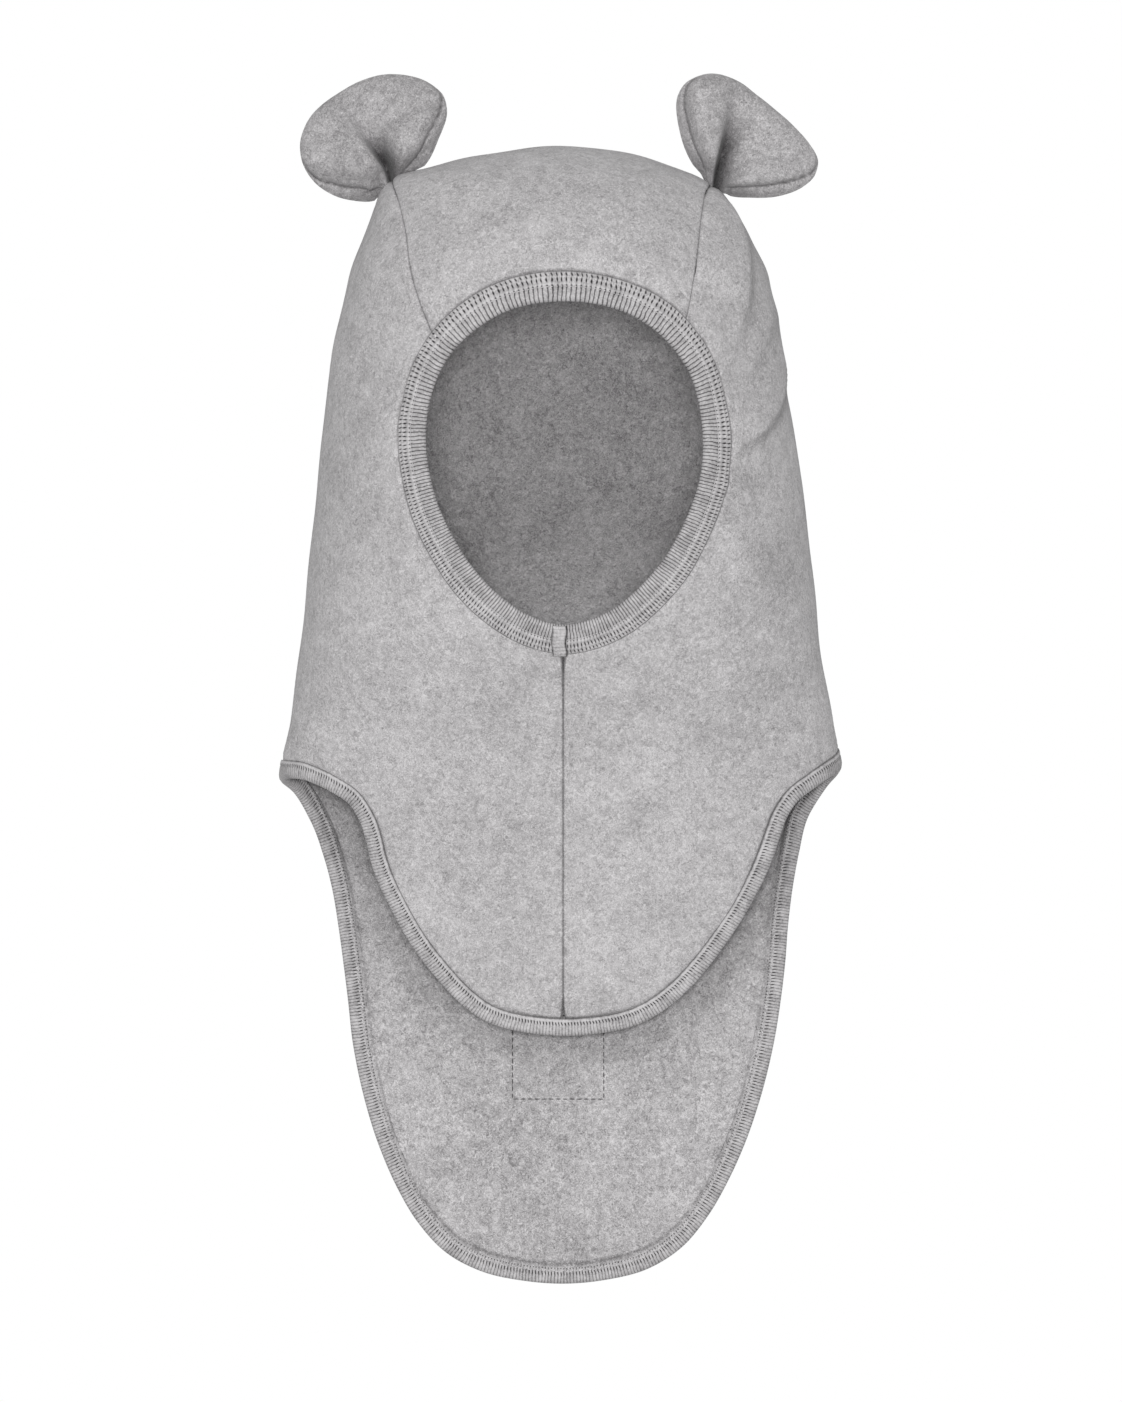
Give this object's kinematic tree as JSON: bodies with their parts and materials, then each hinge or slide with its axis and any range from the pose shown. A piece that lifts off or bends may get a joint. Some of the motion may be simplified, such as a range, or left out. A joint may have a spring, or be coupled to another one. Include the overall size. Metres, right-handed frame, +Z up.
{
  "type": "baby balaclava hat with ears",
  "caption": "Soft fleece balaclava for a baby: a hood with a rib-bound face opening, padded ears, and rounded front and back bibs that cover the neck.",
  "frame": {"origin": "inside of the crown at its highest point, where the top of the head rests", "axes": "+Z up along the head; the face opening looks along -Y; +X is to the right when seen from the front"},
  "size_m": [0.1881, 0.1584, 0.4033],
  "materials": {
    "fleece": "brushed wool fleece, heathered pale grey",
    "rib": "fine rib knit, heathered pale grey"
  },
  "bodies": {
    "root": {"crown_back_panel": "fleece", "side_panel_left": "fleece", "side_panel_right": "fleece", "face_binding": "rib", "face_binding_join": "rib", "hem_binding": "rib", "ear_left_front": "fleece", "ear_left_back": "fleece", "ear_right_front": "fleece", "ear_right_back": "fleece"}
  },
  "joints": []
}
